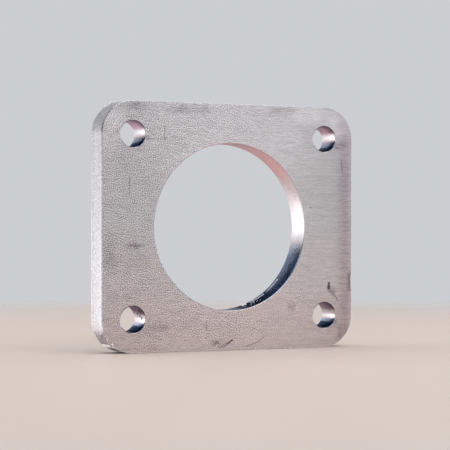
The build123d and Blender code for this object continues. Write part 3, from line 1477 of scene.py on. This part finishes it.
@dataclass
class DrossBeads:
    """Beads of molten steel that froze on the back edge, in the bore and in one bolt hole."""

    thickness: float
    runs: Tuple[BeadRun, ...] = (
        BeadRun(UPPER_LEFT, 12.1, 104.0, 128.0, 26, (0.14, 0.3), 9.75),
        BeadRun(BORE, BORE_RADIUS, -73.2, -71.0, 3, (0.24, 0.34), 8.0, 0.1, 2.0),
        BeadRun(BORE, BORE_RADIUS, -66.5, -41.0, 13, (0.1, 0.24), 8.0, 0.14, 4.0),
        BeadRun(BORE, BORE_RADIUS, -69.5, -62.5, 4, (0.08, 0.16), 4.6, 0.3, 4.0),
        BeadRun(LOWER_LEFT, HOLE_RADIUS, 14.0, 50.0, 4, (0.14, 0.3), 5.2, 0.5, 1.6),
    )
    seed: int = 7
    finish: CutFinish = CutFinish(
        name="frozen_beads",
        tone=(0.84, 0.83, 0.86),
        scorch_tone=(0.5, 0.46, 0.5),
        roughness=0.3,
        grit=0.1,
        streak=0.1,
        striation=0.0,
    )

    def build(self) -> bpy.types.Object:
        """Make the beads.

        Returns:
            The piece.
        """
        values = {"Thickness": self.thickness, "Seed": self.seed, "Material": self.finish.material()}
        group = GroupGraph("dross_bead_tree", SocketKind.of(values), {"Beads": SocketKind.GEOMETRY})
        bead = group.make("GeometryNodeMeshIcoSphere", {"Radius": 1.0, "Subdivisions": 2})
        beads = group.join([self.instances(group, run, bead) for run in self.runs])
        upright = group.stand(group.smooth(group.realize(beads)))
        group.give("Beads", group.paint(upright, group.given("Material")))
        return grown_mesh("dross_beads", group, values)

    @staticmethod
    def between(group: GroupGraph, low: float, high: float, seed: Field) -> Field:
        """A random vector for each bead, from two sizes in mm."""
        inputs = {"Min": (low * MM,) * 3, "Max": (high * MM,) * 3, "Seed": seed}
        return group.make("FunctionNodeRandomValue", inputs, data_type="FLOAT_VECTOR")

    def instances(self, group: GroupGraph, run: BeadRun, bead: Field) -> Field:
        """One run of beads, still as instances.

        Args:
            group: the beads' tree.
            run: where the beads lie.
            bead: one bead of radius one.

        Returns:
            The run.
        """
        arc = group.make("GeometryNodeCurveArc", {
            "Resolution": run.count,
            "Radius": run.radius * MM,
            "Start Angle": math.radians(run.start),
            "Sweep Angle": math.radians(run.end - run.start),
        })
        points = group.add("GeometryNodeCurveToPoints", {"Count": run.count, "Curve": arc}, mode="COUNT")
        thickness, seed = group.given("Thickness", "Seed")
        jitter = self.between(group, -run.scatter, run.scatter, seed)
        middle = group.xyz(run.centre[0] * MM, run.centre[1] * MM, thickness * 0.5 - run.depth * MM)
        size = self.between(group, *run.size, seed + 1.0)
        return group.make("GeometryNodeInstanceOnPoints", {
            "Points": group.move(points.outputs[0], jitter + middle),
            "Instance": bead,
            "Rotation": points.outputs["Rotation"],
            "Scale": size * (1.0, 1.0, run.stretch),
        })


@dataclass(frozen=True)
class Softbox:
    """A rectangular lamp that faces a point."""

    name: str
    place: Triple
    size: Pair
    radiance: float
    target: Triple = ORIGIN
    colour: Triple = WHITE

    def build(self) -> None:
        """Make the lamp, with the power that gives its face the radiance."""
        lamp = bpy.data.lights.new(self.name, "AREA")
        lamp.shape = "RECTANGLE"
        lamp.size, lamp.size_y = self.size
        lamp.energy = self.radiance * math.pi * self.size[0] * self.size[1]
        lamp.color = self.colour
        holder = bpy.data.objects.new(self.name, lamp)
        holder.location = self.place
        away = Vector(self.place) - Vector(self.target)
        holder.rotation_euler = away.to_track_quat("Z", "Y").to_euler()
        holder.visible_camera = False
        bpy.context.scene.collection.objects.link(holder)


@dataclass
class Studio:
    """Pale table top, softboxes and a backdrop that darkens overhead."""

    floor_level: float
    floor_radius: float = 0.6
    backdrop: Triple = (0.60, 0.615, 0.64)
    overhead: Triple = (0.008, 0.018, 0.04)
    fade: Pair = (7.5, 18.0)
    softboxes: Tuple[Softbox, ...] = (
        Softbox("key_front_right", (0.62, -1.25, 0.16), (1.5, 0.9), 0.72),
        Softbox("strip_back_left", (-0.25, 0.50, -0.008), (0.5, 0.075), 1.9),
        Softbox("glow_back_left", (-0.27, 0.54, 0.03), (0.6, 0.15), 0.6),
        Softbox("card_back_left", (-0.155, 0.31, -0.043), (0.28, 0.3), 1.1, (-0.155, 0.31, 1.0)),
        Softbox("card_near_left", (-0.06, 0.14, -0.043), (0.3, 0.14), 0.3, (-0.06, 0.14, 1.0), WARM),
        Softbox("card_close_left", (-0.072, 0.042, -0.0445), (0.034, 0.06), 1.0, (-0.072, 0.042, 1.0)),
        Softbox("upper_left_side", (-0.6, 0.4, 0.69), (0.7, 0.7), 1.45),
        Softbox("rim_left", (-1.0, 0.15, 0.05), (0.35, 0.9), 0.3),
        Softbox("rim_right", (1.2, -0.45, 0.1), (0.4, 0.6), 1.3),
        Softbox("rim_top", (0.55, -0.75, 0.8), (0.6, 0.3), 1.3),
        Softbox("overhead", (0.1, -0.1, 1.0), (1.6, 1.5), 1.9),
        Softbox("fill_back_right", (1.3, 0.75, 0.3), (1.1, 0.7), 0.7),
    )

    def build(self) -> None:
        """Make the floor, the lamps and the world."""
        self.build_floor()
        for softbox in self.softboxes:
            softbox.build()
        self.build_world()

    def build_floor(self) -> None:
        """Lay the table top under the plate."""
        mesh = bpy.data.meshes.new("table_top")
        shell = bmesh.new()
        bmesh.ops.create_circle(shell, cap_ends=True, segments=96, radius=self.floor_radius)
        bmesh.ops.translate(shell, verts=shell.verts, vec=(0.0, 0.0, self.floor_level))
        shell.to_mesh(mesh)
        shell.free()
        mesh.materials.append(FloorFinish().material())
        floor = bpy.data.objects.new("table_top", mesh)
        bpy.context.scene.collection.objects.link(floor)

    def build_world(self) -> None:
        """Light the surroundings: pale round the horizon, dark overhead."""
        world = bpy.data.worlds.new("studio")
        bpy.context.scene.world = world
        world.use_nodes = True
        graph = Graph(world.node_tree)
        _, _, rise = graph.make("ShaderNodeTexCoord", output="Generated").split()
        up = graph.math("DEGREES", graph.math("ARCSINE", rise)).ramp(*self.fade)
        background = next(n for n in world.node_tree.nodes if n.type == "BACKGROUND")
        graph.feed(background.inputs["Color"], up.mix(self.backdrop, self.overhead))


@dataclass
class StudioCamera:
    """The camera, at the photograph's viewing angle."""

    place: Triple = (-0.28023, -0.565, -0.00163)
    forward: Triple = (0.444272, 0.895884, 0.003735)
    up: Triple = (-0.002457, -0.002951, 0.999993)
    lens: float = 137.22
    sensor: float = 36.0
    clip: Pair = (0.01, 20.0)

    def build(self) -> None:
        """Make the camera and look through it."""
        data = bpy.data.cameras.new("camera")
        data.lens = self.lens
        data.sensor_width = self.sensor
        data.sensor_fit = "HORIZONTAL"
        data.clip_start, data.clip_end = self.clip
        back = -Vector(self.forward).normalized()
        right = Vector(self.up).cross(back).normalized()
        turn = Matrix((right, back.cross(right), back)).transposed().to_4x4()
        camera = bpy.data.objects.new("camera", data)
        camera.matrix_world = Matrix.Translation(self.place) @ turn
        bpy.context.scene.collection.objects.link(camera)
        bpy.context.scene.camera = camera


def main() -> None:
    """Build the flange, its studio and its camera."""
    logging.basicConfig(level=logging.INFO, format="%(name)s: %(message)s")
    bpy.context.scene.view_settings.view_transform = "Standard"
    flange = FlangePlate.from_frame(frame["record"])
    for part in (flange, DrossBeads(thickness=flange.thickness)):
        piece = part.build()
        LOG.info("%s built, %d faces", piece.name, len(piece.data.polygons))
    Studio(floor_level=-flange.height / 2).build()
    StudioCamera().build()


if __name__ == "__main__":
    main()
